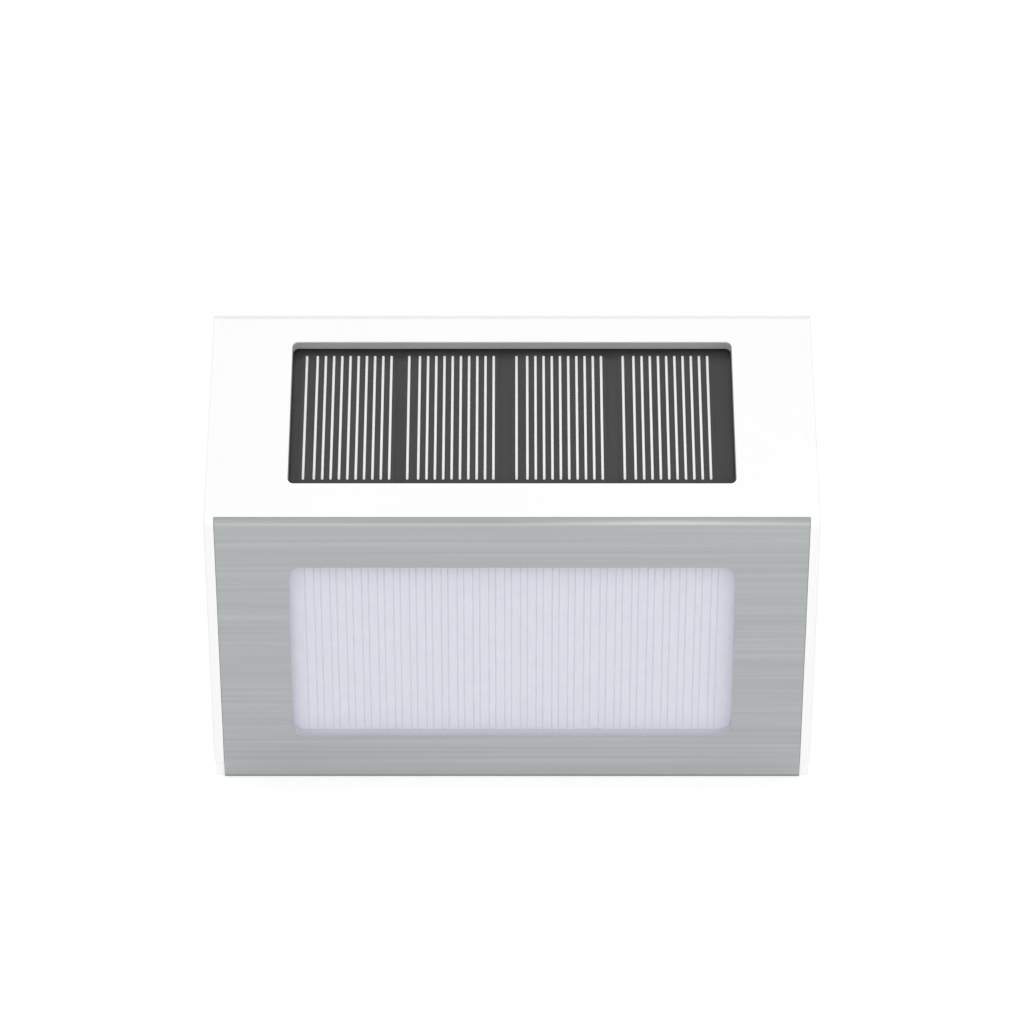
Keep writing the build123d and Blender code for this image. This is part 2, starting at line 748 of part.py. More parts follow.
def build_lamp_board_screws():
    with BuildPart() as lamp_board_screws:
        screws([(k * lamp_board_screw_spacing / 2, window_z) for k in (-1, 1)],
               reflector_back + small_screw_bite, lamp_board_back,
               small_screw_radius, small_head_radius, small_head_height)
    save(lamp_board_screws.part, "lamp_board_screws")


# ---------------------------------------------------------------- back cover
def seal_arch(mode=Mode.ADD):
    """The strip along the rear edge of the cheeks and the top, let into the back cover's flange."""
    outer = half_width - (cheek_wall - seal_width) / 2
    upper = top_z - (top_wall - seal_width) / 2 / cos(slope)
    with BuildSketch(from_wall(rear_edge - seal_depth)) as arch:
        with Locations((0, (upper + skirt_z) / 2)):
            Rectangle(2 * outer, upper - skirt_z)
        with Locations((0, (upper + skirt_z - seal_width) / 2)):
            Rectangle(2 * (outer - seal_width), upper - skirt_z - seal_width, mode=Mode.SUBTRACT)
    extrude(arch.sketch, amount=seal_depth, mode=mode)


def build_back_cover():
    lip_out = inner_half - cover_lip_fit
    rim_half = half_width - base_inset
    tray_front = body_depth - base_front_gap
    with BuildPart() as back_cover:
        # flange against the housing's rear edge, and the pan that takes the wall plate
        slab(0, (base_z + top_z) / 2, body_width, top_z - base_z, 0, rear_edge)
        fillet(back_cover.faces().sort_by(Axis.Y)[-1].edges(), edge_round)
        slab(0, recess_z, recess_width + 2 * pan_wall, recess_height + 2 * pan_wall, 0, pan_front, plate_corner)
        # base: a tray whose rim shows below the cheeks, with a lip inside them
        slab(0, base_z + base_rim / 2, 2 * rim_half, base_rim, rear_edge, tray_front)
        slab(0, base_z + (base_rim + cover_lip_height) / 2, 2 * lip_out, base_rim + cover_lip_height,
             rear_edge, wall_back - cover_lip_fit)
        slab(0, base_z + base_wall + base_drop, 2 * (lip_out - cover_lip), 2 * base_drop,
             pan_front, wall_back - cover_lip_fit - cover_lip, mode=Mode.SUBTRACT)
        # side lips inside the cheeks
        for k in (-1, 1):
            slab(k * (lip_out - cover_lip / 2), (skirt_z + recess_top) / 2, cover_lip, recess_top - skirt_z,
                 rear_edge, rear_edge + cover_lip_depth)
        rods(cover_screws_at, boss_radius, 0, cover_boss_depth)
        # battery bay with its solid ends
        slab(0, battery_z, door_length + 2 * bay_wall, door_height + 2 * bay_wall,
             pan_back, pan_front + bay_wall)
        slab(0, battery_z, bay_length + 2 * bay_end, bay_height + 2 * bay_wall,
             pan_back, bay_floor + bay_wall)
        # hook pockets
        for x, z in hooks_at:
            slab(x, z + (hook_lip - lift_travel) / 2, hook_width + 2 * (hook_play + pocket_wall),
                 hook_post + hook_lip + lift_travel + 2 * (hook_play + pocket_wall),
                 pan_back, pan_front + pocket_depth + pocket_wall)
        # posts for the circuit board
        rods(board_posts, post_radius, pan_front, board_back)
        # the switch's well, let into the base from below, and the ribs that hold the switch
        with BuildSketch(Plane.XY.offset(base_z)):
            with Locations((switch_x, -switch_depth)):
                Rectangle(well_length + 2 * well_floor, well_width + 2 * well_floor)
        extrude(amount=well_rise + well_floor)
        with BuildSketch(Plane.XY.offset(switch_base)):
            with Locations((switch_x, -switch_depth)):
                for k in (-1, 1):
                    with Locations((k * (switch_size[0] / 2 + switch_play + well_floor / 2), 0)):
                        Rectangle(well_floor, switch_size[1])
        extrude(amount=switch_size[2] / 2)
        slab(0, base_z + base_rim / 2, 2 * inner_half, base_rim,
             wall_front, tray_front, mode=Mode.SUBTRACT)
        # cuts from behind: plate recess, door seat, bay, hook slots, screw holes
        slab(0, recess_z, recess_width, recess_height,
             0, pan_back, plate_corner - plate_gap, mode=Mode.SUBTRACT)
        rear = back_cover.faces().sort_by(Axis.Y)[-1]
        fillet(rear.inner_wires().sort_by(SortBy.LENGTH)[-1].edges(), small_round)
        slab(0, battery_z, door_length + 2 * door_fit, door_height + 2 * door_fit,
             0, door_seat, door_corner + door_fit, mode=Mode.SUBTRACT)
        slab(0, battery_z, bay_length, bay_height, door_seat, bay_floor, mode=Mode.SUBTRACT)
        rods([(k * door_screw_x, battery_z) for k in (-1, 1)], door_screw_radius + door_screw_clearance,
             door_seat, door_seat + door_screw_length, Mode.SUBTRACT)
        for x, z in hooks_at:
            slab(x, z - (lift_travel + hook_play) / 2, hook_width + 2 * hook_play,
                 hook_post + lift_travel + hook_play, pan_back, pan_front, mode=Mode.SUBTRACT)
            slab(x, z + (hook_lip - lift_travel) / 2, hook_width + 2 * hook_play,
                 hook_post + hook_lip + lift_travel + 2 * hook_play,
                 pan_front, pan_front + pocket_depth, mode=Mode.SUBTRACT)
        rods(cover_screws_at, cover_head_radius + head_clearance,
             0, head_sink + cover_head_height, Mode.SUBTRACT)
        rods(cover_screws_at, cover_screw_radius, 0, cover_boss_depth, Mode.SUBTRACT)
        rods(board_posts, small_screw_radius, pan_front, board_back, Mode.SUBTRACT)
        for k in (-1, 1):
            slab(k * (bay_length - contact_gauge) / 2, battery_z,
                 contact_gauge + 2 * contact_slot_play, contact_tail_height + 2 * contact_slot_play,
                 bay_floor, bay_floor + bay_wall, mode=Mode.SUBTRACT)
        seal_arch(Mode.SUBTRACT)
        # switch well and stem slot
        with BuildSketch(Plane.XY.offset(base_z)):
            with Locations((switch_x, -switch_depth)):
                RectangleRounded(well_length, well_width, 1.0)
        extrude(amount=well_rise, mode=Mode.SUBTRACT)
        with BuildSketch(Plane.XY.offset(well_z)):
            with Locations((switch_x, -switch_depth)):
                Rectangle(stem_length + switch_travel + 2 * slot_play, stem_width + 2 * slot_play)
        extrude(amount=well_floor, mode=Mode.SUBTRACT)
    save(back_cover.part, "back_cover")


def build_cover_seal():
    with BuildPart() as cover_seal:
        seal_arch()
    save(cover_seal.part, "cover_seal")


def build_cover_screws():
    with BuildPart() as cover_screws:
        screws(cover_screws_at, head_sink + cover_screw_length, head_sink + cover_head_height,
               cover_screw_radius, cover_head_radius, cover_head_height)
    save(cover_screws.part, "cover_screws")


# ---------------------------------------------------------------- battery and its door
def build_battery():
    end = battery_x + battery_length
    with BuildPart() as battery:
        with BuildSketch(Plane(origin=at(battery_x + battery_nub, battery_depth, battery_z), z_dir=(1, 0, 0))):
            Circle(battery_radius)
        extrude(amount=end - battery_x - battery_nub)
        fillet(battery.edges().filter_by(GeomType.CIRCLE), 0.6)
        with BuildSketch(Plane(origin=at(battery_x, battery_depth, battery_z), z_dir=(1, 0, 0))):
            Circle(battery_nub_radius)
        extrude(amount=battery_nub + 0.5)
    save(battery.part, "battery")


def build_battery_contacts():
    with BuildPart() as battery_contacts:
        for k in (-1, 1):
            slab(k * (bay_length - contact_gauge) / 2, battery_z, contact_gauge, contact_height,
                 battery_depth - contact_width / 2, battery_depth + contact_width / 2)
            slab(k * (bay_length - contact_gauge) / 2, battery_z, contact_gauge, contact_tail_height,
                 battery_depth, bay_floor + bay_wall + contact_tail)
    save(battery_contacts.part, "battery_contacts")


def build_battery_spring():
    start = battery_x + battery_length
    length = bay_length / 2 - contact_gauge - start
    pitch = (length - 2 * spring_wire) / spring_turns
    steps = 4 * spring_turns
    points = []
    for k in range(2 * steps + 1):
        turn = k / 2 * pi / 2
        points.append(at(
            start + spring_wire + pitch * turn / (2 * pi),
            battery_depth + spring_radius * cos(turn),
            battery_z + spring_radius * sin(turn),
        ))
    with BuildPart() as battery_spring:
        with BuildLine() as coil:
            for k in range(steps):
                ThreePointArc(points[2 * k], points[2 * k + 1], points[2 * k + 2])
        with BuildSketch(Plane(origin=coil.wires()[0] @ 0, z_dir=coil.wires()[0] % 0)):
            Circle(spring_wire)
        sweep(path=coil.wires()[0])
    save(battery_spring.part, "battery_spring")


def build_battery_door():
    screw_points = [(k * door_screw_x, battery_z) for k in (-1, 1)]
    with BuildPart() as battery_door:
        slab(0, battery_z, door_length, door_height, pan_back, pan_back + door_thickness, door_corner)
        fillet(battery_door.faces().sort_by(Axis.Y)[-1].edges(), small_round)
        with Locations(Plane(origin=at(0, pan_back, battery_z), x_dir=(1, 0, 0), z_dir=(0, 1, 0))):
            with Locations((-door_screw_x, 0), (door_screw_x, 0)):
                CounterSinkHole(door_screw_radius + door_screw_clearance, door_head_radius,
                                depth=door_thickness)
        # grip ribs, cut as grooves into the outside
        for k in range(grip_count):
            slab((k - (grip_count - 1) / 2) * grip_pitch, battery_z, grip_width, door_height / 2,
                 pan_back, pan_back + grip_depth, mode=Mode.SUBTRACT)
    save(battery_door.part, "battery_door")
    with BuildPart() as door_seal:
        slab(0, battery_z, door_length, door_height, pan_back + door_thickness, door_seat, door_corner)
        slab(0, battery_z, bay_length, bay_height, pan_back + door_thickness, door_seat, mode=Mode.SUBTRACT)
        rods(screw_points, door_screw_radius + door_screw_clearance, pan_back + door_thickness, door_seat,
             Mode.SUBTRACT)
    save(door_seal.part, "door_seal")
    head_depth = door_head_radius - door_screw_radius - door_screw_clearance
    door_screw_tip = door_seat + door_screw_length - door_screw_end_gap - pan_back
    with BuildPart() as door_screws:
        for x, z in screw_points:
            with BuildSketch(Plane(origin=at(x, pan_back, z), x_dir=(1, 0, 0), z_dir=(0, 0, 1))):
                with BuildLine():
                    Polyline(
                        (0, 0), (door_head_radius - door_screw_clearance, 0),
                        (door_screw_radius, -head_depth),
                        (door_screw_radius, -door_screw_tip),
                        (0, -door_screw_tip),
                        close=True,
                    )
                make_face()
            revolve(axis=Axis(origin=at(x, pan_back, z), direction=(0, 1, 0)))
        slot = door_head_radius
        with BuildSketch(from_wall(pan_back)):
            with Locations(*screw_points):
                Rectangle(slot, slot / 4)
                Rectangle(slot / 4, slot)
        extrude(amount=head_depth * 0.8, mode=Mode.SUBTRACT)
    save(door_screws.part, "door_screws")


# ---------------------------------------------------------------- circuit board
def build_circuit_board():
    with BuildPart() as circuit_board:
        slab(0, board_z, board_width, board_height, board_back, board_front, 1.5)
        rods(board_posts, small_screw_radius, board_back, board_front, Mode.SUBTRACT)
    save(circuit_board.part, "circuit_board")
    with BuildPart() as board_screws:
        screws(board_posts, pan_front + 1, board_front, small_screw_radius, small_head_radius,
               small_head_height, forward=False)
    save(board_screws.part, "board_screws")


def build_board_parts():
    length, height, thickness = chip_size
    with BuildPart() as controller_chip:
        slab(chip_x, board_z, length, height, board_front + chip_stand, board_front + thickness)
        for side in (-1, 1):
            for k in range(chip_leg_count):
                slab(chip_x + (k - (chip_leg_count - 1) / 2) * chip_leg_pitch,
                     board_z + side * (height + chip_leg_length - chip_stand) / 2,
                     chip_leg_width, chip_leg_length, board_front, board_front + chip_leg_height)
    save(controller_chip.part, "controller_chip")
    coil_at = (coil_place[0], board_z + coil_place[1])
    with BuildPart() as choke_core:
        rods([coil_at], coil_radius, board_front, board_front + coil_height)
        with BuildSketch(from_wall(board_front + coil_flange)):
            with Locations(coil_at):
                Circle(coil_radius)
                Circle(coil_radius - coil_groove, mode=Mode.SUBTRACT)
        extrude(amount=coil_height - 2 * coil_flange, mode=Mode.SUBTRACT)
    save(choke_core.part, "choke_core")
    with BuildPart() as capacitor:
        rods([(capacitor_place[0], board_z + capacitor_place[1])], capacitor_radius,
             board_front, board_front + capacitor_height)
        top = capacitor.faces().sort_by(Axis.Y)[0]
        fillet(top.edges(), 0.5)
    save(capacitor.part, "capacitor")


# ---------------------------------------------------------------- switch
def build_switch():
    length, width, height = switch_size
    stem_top = switch_base + stem_height
    with BuildPart() as switch_body:
        with BuildSketch(Plane.XY.offset(switch_base)):
            with Locations((switch_x, -switch_depth)):
                Rectangle(length, width)
        extrude(amount=height)
        with BuildSketch(Plane.XY.offset(switch_base)):
            with Locations((switch_x, -switch_depth)):
                Rectangle(stem_length + switch_travel + 2 * slot_play, stem_width + 2 * slot_play)
        extrude(amount=stem_height + slot_play, mode=Mode.SUBTRACT)
    save(switch_body.part, "switch_body")
    with BuildPart() as switch_knob:
        with BuildSketch(Plane.XY.offset(base_z + knob_sink)):
            with Locations((switch_rest_x, -switch_depth)):
                RectangleRounded(knob_length, knob_width, 0.5)
        extrude(amount=knob_height)
        for k in (-1, 0, 1):
            with BuildSketch(Plane.XY.offset(base_z + knob_sink)):
                with Locations((switch_rest_x + k * knob_groove_pitch, -switch_depth)):
                    Rectangle(knob_groove, knob_width)
            extrude(amount=knob_groove_depth, mode=Mode.SUBTRACT)
        with BuildSketch(Plane.XY.offset(base_z + knob_sink + knob_height)):
            with Locations((switch_rest_x, -switch_depth)):
                Rectangle(stem_length, stem_width)
        extrude(amount=stem_top - base_z - knob_sink - knob_height)
    save(switch_knob.part, "switch_knob")


# ---------------------------------------------------------------- leads
def build_leads():
    board_top = board_z + board_height / 2
    board_low = board_z - board_height / 2
    panel_point = on_slope(backing_base).from_local_coords((0, panel_mid))
    drop = on_slope(backing_base + lead_run).from_local_coords((0, panel_mid))
    with BuildPart() as solar_leads:
        for x in (-lead_pitch / 2, lead_pitch / 2):
            lead([
                (x, panel_point.Y, panel_point.Z),
                (x, drop.Y, drop.Z),
                at(x, board_front + lead_run, board_top - post_inset[1]),
                at(x, board_front, board_top - post_inset[1]),
            ])
    save(solar_leads.part, "solar_leads")
    # from the upper edge of each contact's tail, up past the bay and back to the board
    tail = bay_floor + bay_wall + contact_tail / 2
    tail_z = battery_z + contact_tail_height / 2
    with BuildPart() as battery_leads:
        for k in (-1, 1):
            x = k * (bay_length - contact_gauge) / 2
            pad = k * (board_width / 2 - battery_pad_inset)
            lead([
                at(x, tail, tail_z),
                at(x, tail, tail_z + lead_run),
                at(pad, tail, board_low + post_inset[1]),
                at(pad, board_front, board_low + post_inset[1]),
            ])
    save(battery_leads.part, "battery_leads")
    lamp_pad_z = window_z + lamp_board_height / 2 - lamp_pad_inset
    with BuildPart() as lamp_leads:
        for side in (-lead_pitch / 2, lead_pitch / 2):
            x = -lamp_board_width / 2 + post_inset[0] + side
            pad = -board_width / 2 + post_inset[0] + side
            lead([
                at(x, lamp_board_back, lamp_pad_z),
                at(x, lamp_board_back - lead_run, lamp_pad_z),
                at(pad, board_front + lead_run, board_z),
                at(pad, board_front, board_z),
            ])
    save(lamp_leads.part, "lamp_leads")
    switch_top = switch_base + switch_size[2]
    with BuildPart() as switch_leads:
        for k in (-1, 1):
            x = switch_x + k * lead_pitch / 2
            pad = board_width / 2 - post_inset[0] + k * lead_pitch / 2
            lead([
                at(x, switch_depth, switch_top),
                at(x, switch_depth, switch_top + 2 * lead_run),
                at(pad, board_front + 2 * lead_run, board_z),
                at(pad, board_front, board_z),
            ])
    save(switch_leads.part, "switch_leads")


# ---------------------------------------------------------------- wall plate
def build_wall_plate():
    plate_z = (plate_top + plate_bottom) / 2
    opening_low = battery_z - door_height / 2 - 2 * plate_gap
    opening_high = battery_z + door_height / 2 + lift_travel + 2 * plate_gap
    with BuildPart() as wall_plate:
        slab(0, plate_z, plate_width, plate_top - plate_bottom, 0, plate_thickness, plate_corner)
        fillet(wall_plate.faces().sort_by(Axis.Y)[-1].edges(), small_round)
        # clear of the battery door, also with the light lifted
        slab(0, (opening_low + opening_high) / 2, door_length + 4 * plate_gap, opening_high - opening_low,
             0, plate_thickness, mode=Mode.SUBTRACT)
        for x, z in hooks_at:
            lip_back = pan_front + hook_play
            slab(x, z, hook_width, hook_post, plate_thickness, lip_back + hook_lip_thickness)
            slab(x, z + hook_lip / 2, hook_width, hook_post + hook_lip,
                 lip_back, lip_back + hook_lip_thickness)
        with Locations(Plane(origin=at(0, plate_thickness, 0), x_dir=(1, 0, 0), z_dir=(0, -1, 0))):
            with Locations((-wall_screw_spacing / 2, 0), (wall_screw_spacing / 2, 0)):
                CounterSinkHole(wall_screw_radius, wall_screw_head_radius, depth=plate_thickness)
    save(wall_plate.part, "wall_plate")


build_housing()
build_front_plate()
build_plate_tape()
build_lens()
build_lens_gasket()
build_panel_gasket()
build_solar_laminate()
build_cell_fingers()
build_solar_cells()
build_solar_backing()
build_panel_frame()
build_frame_screws()
build_reflector()
build_reflector_screws()
build_lamp_board()
build_lamps()
build_lamp_board_screws()
build_back_cover()
build_cover_seal()
build_cover_screws()
build_battery()
build_battery_contacts()
build_battery_spring()
build_battery_door()
build_circuit_board()
build_board_parts()
build_switch()
build_leads()
build_wall_plate()
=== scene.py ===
"""Solar fence light: materials, fine pieces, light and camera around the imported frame.

Metres, in the row frame: X along the width, Y into the wall, Z up, and the wall is Y = 0.
"""

import json
import math

import bmesh
import bpy
from mathutils import Matrix, Vector


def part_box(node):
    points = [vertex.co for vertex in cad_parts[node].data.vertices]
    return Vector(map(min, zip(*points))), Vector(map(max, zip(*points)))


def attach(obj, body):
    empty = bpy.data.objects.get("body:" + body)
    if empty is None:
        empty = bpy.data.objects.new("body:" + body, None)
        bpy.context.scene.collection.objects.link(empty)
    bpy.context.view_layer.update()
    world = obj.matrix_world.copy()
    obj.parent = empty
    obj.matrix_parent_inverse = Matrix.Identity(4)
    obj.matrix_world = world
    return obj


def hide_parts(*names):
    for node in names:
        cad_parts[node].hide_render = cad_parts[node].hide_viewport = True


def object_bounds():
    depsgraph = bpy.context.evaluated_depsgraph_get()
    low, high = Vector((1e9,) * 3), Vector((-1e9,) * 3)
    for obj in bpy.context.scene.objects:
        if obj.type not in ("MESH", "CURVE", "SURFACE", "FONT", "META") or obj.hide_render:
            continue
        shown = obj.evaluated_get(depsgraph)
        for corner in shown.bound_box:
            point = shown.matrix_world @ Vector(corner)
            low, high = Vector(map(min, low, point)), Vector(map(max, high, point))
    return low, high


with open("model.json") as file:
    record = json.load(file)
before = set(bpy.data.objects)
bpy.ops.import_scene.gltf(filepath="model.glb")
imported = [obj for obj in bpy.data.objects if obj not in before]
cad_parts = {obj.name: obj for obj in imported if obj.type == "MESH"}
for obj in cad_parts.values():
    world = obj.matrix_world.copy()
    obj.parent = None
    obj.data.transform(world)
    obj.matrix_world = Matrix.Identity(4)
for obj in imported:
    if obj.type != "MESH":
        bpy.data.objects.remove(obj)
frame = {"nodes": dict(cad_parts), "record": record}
nodes = frame["nodes"]
cad_low, cad_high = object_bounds()
scene = bpy.context.scene
scene.view_settings.view_transform = "Standard"

MM = 0.001

# ---------------------------------------------------------------- places on the object
SLOPE = math.radians(35.0)  # the sloped top, from the horizontal
# axes of the slope: across it, up it, and square out of it
SLOPE_AXES = Matrix((
    (1, 0, 0),
    (0, math.cos(SLOPE), math.sin(SLOPE)),
    (0, -math.sin(SLOPE), math.cos(SLOPE)),
))
LENS_THICKNESS = 1.2 * MM
LENS_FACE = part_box("lens")[1].y - LENS_THICKNESS  # Y of the lens's face
STEEL_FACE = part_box("front_plate")[0].y
STEEL_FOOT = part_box("front_plate")[0].z
BEND_START = 14.36 * MM  # Z where the steel starts to bend

# ---------------------------------------------------------------- sizes of the fine pieces
FILM_LIFT = 0.04 * MM  # film's underside above the printed lines
FILM_EDGE = 0.08 * MM  # what the film's edges are rounded over by
FILM_CORNER = 4 * FILM_EDGE
FILM_CORNER_STEPS = 4
LINE_SHOULDER = 0.08 * MM  # printed line's side, drawn in from its foot
LINE_END_STEPS = 5
SHARP_ANGLE = math.radians(40)  # edges sharper than this stay sharp
SAME_POINT = 1e-7  # corners of a solid's faces that are nearer than this are one

# A screw's profile is (radius, depth) pairs in mm from its head's outer end to its tip. Its recess
# is a cross of two arms, each (half length, half width) at its mouth and at its floor.
COVER_SCREW = {
    "profile": (
        (0.9, 0), (1.35, 0.05), (1.7, 0.18), (1.93, 0.42), (2.06, 0.75), (2.1, 1.1), (2.1, 1.42),
        (2.04, 1.5), (1.2, 1.5), (1.2, 12.4), (0.15, 14.0),
    ),
    "mouth": (1.15, 0.24),
    "floor": (0.42, 0.14),
    "depth": 1.1,
}
DOOR_SCREW = {
    "profile": ((1.3, 0), (1.52, 0.02), (1.6, 0.07), (0.95, 0.7), (0.95, 5.6), (0.12, 6.6)),
    "mouth": (0.92, 0.2),
    "floor": (0.34, 0.12),
    "depth": 0.62,
}
SCREW_SIDES = 32
CUTTER_PROUD = 0.1  # mm that a recess's cutter stands out of the head

# ---------------------------------------------------------------- studio
WHITE = (1.0, 1.0, 1.0, 1.0)
AMBIENT = 0.75
FLOOR_HALF = 4.0
FLOOR_GAP = 0.05 * MM
FLOOR_COLOUR = (0.68, 0.68, 0.68, 1.0)
FLOOR_REACH = (0.8, 2.4)  # from here to here the floor's glow grows, as the lamps' light fades
FLOOR_GLOW = (0.435, 0.51)
# name, place, point it looks at, size across and up, watts, and whether metal and gloss show it
LAMPS = (
    ("key", (-0.35, -0.75, 0.95), (0.0, 0.0, 0.0), (0.8, 0.8), 3.0, False),
    ("fill", (0.75, -0.6, 0.45), (0.0, 0.0, 0.0), (0.7, 0.7), 1.4, False),
    ("front", (0.0, -1.3, 0.35), (0.0, 0.0, 0.0), (1.4, 0.6), 2.15, False),
    ("horizon", (0.0, -1.3, 0.11), (0.0, 0.0, 0.11), (1.8, 0.3), 1.0, True),
)
CAMERA_PLACE = (0.0, -0.60415, 0.29827)
CAMERA_PITCH = math.radians(26.451)  # down from the horizontal
CAMERA_SENSOR = 36.0
CAMERA_LENS = 114.35
CAMERA_NEAR = 0.01


# ---------------------------------------------------------------- node helpers
class Tree:
    """A node tree, with short calls for the nodes that the materials and the studio share."""

    def __init__(self, owner):
        owner.use_nodes = True
        self.tree = owner.node_tree
        self.tree.nodes.clear()

    def put(self, value, socket):
        """Give a socket a value, or link another socket to it."""
        if isinstance(value, bpy.types.NodeSocket):
            self.tree.links.new(value, socket)
        else:
            socket.default_value = value

    def add(self, kind, inputs=None, **settings):
        """A node with its settings, and with its inputs, by name or number, set or linked."""
        node = self.tree.nodes.new(kind)
        for key, value in settings.items():
            setattr(node, key, value)
        for key, value in (inputs or {}).items():
            self.put(value, node.inputs[key])
        return node

    def math(self, operation, first, second):
        return self.add("ShaderNodeMath", {0: first, 1: second}, operation=operation).outputs[0]

    def remap(self, value, start, end, low=0.0, high=1.0):
        """A value's stretch from start to end, as low to high, and held beyond its ends."""
        return self.add("ShaderNodeMapRange", {
            "Value": value, "From Min": start, "From Max": end, "To Min": low, "To Max": high,
        }).outputs[0]

    def mix_shaders(self, factor, first, second):
        return self.add("ShaderNodeMixShader", {
            0: factor, 1: first.outputs[0], 2: second.outputs[0],
        })


class Material(Tree):
    """A material's tree around one Principled shader."""

    def __init__(self, name):
        self.material = bpy.data.materials.new(name)
        super().__init__(self.material)
        self.shader = self.add("ShaderNodeBsdfPrincipled")
        self.add("ShaderNodeOutputMaterial", {0: self.shader.outputs[0]})
        self.place = self.add("ShaderNodeTexCoord").outputs["Object"]

    def axes(self):
        """Object coordinates as X, Y and Z."""
        return self.add("ShaderNodeSeparateXYZ", {0: self.place}).outputs

    def scaled(self, *scale, turn=(0.0, 0.0, 0.0)):
        """Object coordinates times a scale on each axis, or one scale on all three."""
        return self.add("ShaderNodeMapping", {
            "Vector": self.place,
            "Scale": scale if len(scale) == 3 else scale * 3,
            "Rotation": turn,
        }).outputs[0]

    def noise(self, vector, detail=3.0, roughness=0.5):
        return self.add("ShaderNodeTexNoise", {
            "Vector": vector, "Scale": 1.0, "Detail": detail, "Roughness": roughness,
        }).outputs["Fac"]

    def weighted(self, *parts):
        """The sum of (socket, weight) pairs."""
        total, *rest = [self.math("MULTIPLY", socket, weight) for socket, weight in parts]
        for part in rest:
            total = self.math("ADD", total, part)
        return total

    def swell(self, value, start, full, fade, end):
        """1 where a value is between full and fade, down to 0 at start and end."""
        rise = self.remap(value, start, full)
        return self.math("MULTIPLY", rise, self.remap(value, fade, end, 1.0, 0.0))

    def blend(self, factor, dark, light):
        """A colour between two others, each an (r, g, b) or a socket."""
        dark, light = ((*c, 1.0) if isinstance(c, tuple) else c for c in (dark, light))
        inputs = {"Factor": factor, 6: dark, 7: light}  # 6 and 7 are the node's two colours
        return self.add("ShaderNodeMix", inputs, data_type="RGBA").outputs[2]

    def bump(self, height, distance, strength=1.0):
        return self.add("ShaderNodeBump", {
            "Height": height, "Distance": distance, "Strength": strength,
        }).outputs[0]

    def finish(self, **inputs):
        """Set or link the shader's inputs by name, with _ for a space, and give the material."""
        for key, value in inputs.items():
            self.put(value, self.shader.inputs[key.replace("_", " ")])
        return self.material


def grey(level):
    return (level, level, level)


# ---------------------------------------------------------------- materials
def moulded(name, dark, light, roughness=(0.38, 0.5), grain=0.35, grain_depth=0.006):
    """Injection-moulded plastic or rubber: fine spark-eroded grain and slightly drifting colour.

    grain is the grain's size and grain_depth its depth, both in millimetres.
    """
    m = Material(name)
    drift = m.noise(m.scaled(22), 2.0)
    fine = m.noise(m.scaled(1 / (grain * MM)), 3.0, 0.6)
    return m.finish(
        Base_Color=m.blend(m.remap(drift, 0.3, 0.7), dark, light),
        Roughness=m.remap(fine, 0.3, 0.7, *roughness),
        Normal=m.bump(fine, grain_depth * MM),
    )


def plain_steel(name, dark, light, roughness):
    """Plated or turned metal with fine, even scuffs."""
    m = Material(name)
    scuff = m.noise(m.scaled(2600), 4.0, 0.6)
    patch = m.noise(m.scaled(240), 2.0)
    return m.finish(
        Base_Color=m.blend(m.remap(patch, 0.3, 0.7), dark, light),
        Roughness=m.remap(scuff, 0.3, 0.7, *roughness),
        Normal=m.bump(scuff, 0.002 * MM, 0.5),
        Metallic=1.0,
    )


def brushed_steel():
    """Stainless sheet brushed along X in streaks of several widths.

    Its sheared edges are painted lighter, a dark line of painted shade runs along its foot, and
    its bend carries a painted highlight right of its middle.
    """
    m = Material("brushed_steel")
    hair = m.noise(m.scaled(28, 28, 7000), 4.0, 0.6)
    streak = m.noise(m.scaled(11, 11, 1500), 1.0, 0.4)
    band = m.noise(m.scaled(5, 5, 260), 3.0)
    tone = m.remap(m.weighted((hair, 0.3), (streak, 0.6), (band, 0.1)), 0.34, 0.66)
    colour = m.blend(tone, (0.383, 0.402, 0.406), (0.452, 0.471, 0.475))

    x, y, z = m.axes()
    # painted shade: a dark line along the foot, where the steel stands on the floor
    painted_foot_shade = m.remap(z, STEEL_FOOT + 0.55 * MM, STEEL_FOOT + 0.4 * MM)
    colour = m.blend(painted_foot_shade, colour, (0.28, 0.29, 0.295))

    # painted highlight: a brighter patch on the bend right of its middle, its extent across x and
    # up z
    across = m.swell(x, *(place * MM for place in (-2.0, 26.0, 34.0, 64.0)))
    up = m.swell(z, *(BEND_START + height * MM for height in (0.4, 0.75, 0.9, 1.4)))
    colour = m.blend(m.math("MULTIPLY", across, up), colour, (0.60, 0.615, 0.62))

    # painted light: the cut edges behind the face and below the bend are painted lighter
    behind = m.math("GREATER_THAN", y, STEEL_FACE + 0.06 * MM)
    below_bend = m.math("LESS_THAN", z, BEND_START)
    painted_edge_light = m.math("MULTIPLY", behind, below_bend)
    return m.finish(
        Base_Color=m.blend(painted_edge_light, colour, (0.72, 0.74, 0.75)),
        Roughness=m.remap(hair, 0.3, 0.7, 0.30, 0.42),
        Normal=m.bump(m.math("ADD", hair, streak), 0.004 * MM, 0.6),
        Metallic=1.0,
        Anisotropic=0.7,
        Tangent=m.add("ShaderNodeTangent", direction_type="RADIAL", axis="Z").outputs[0],
    )


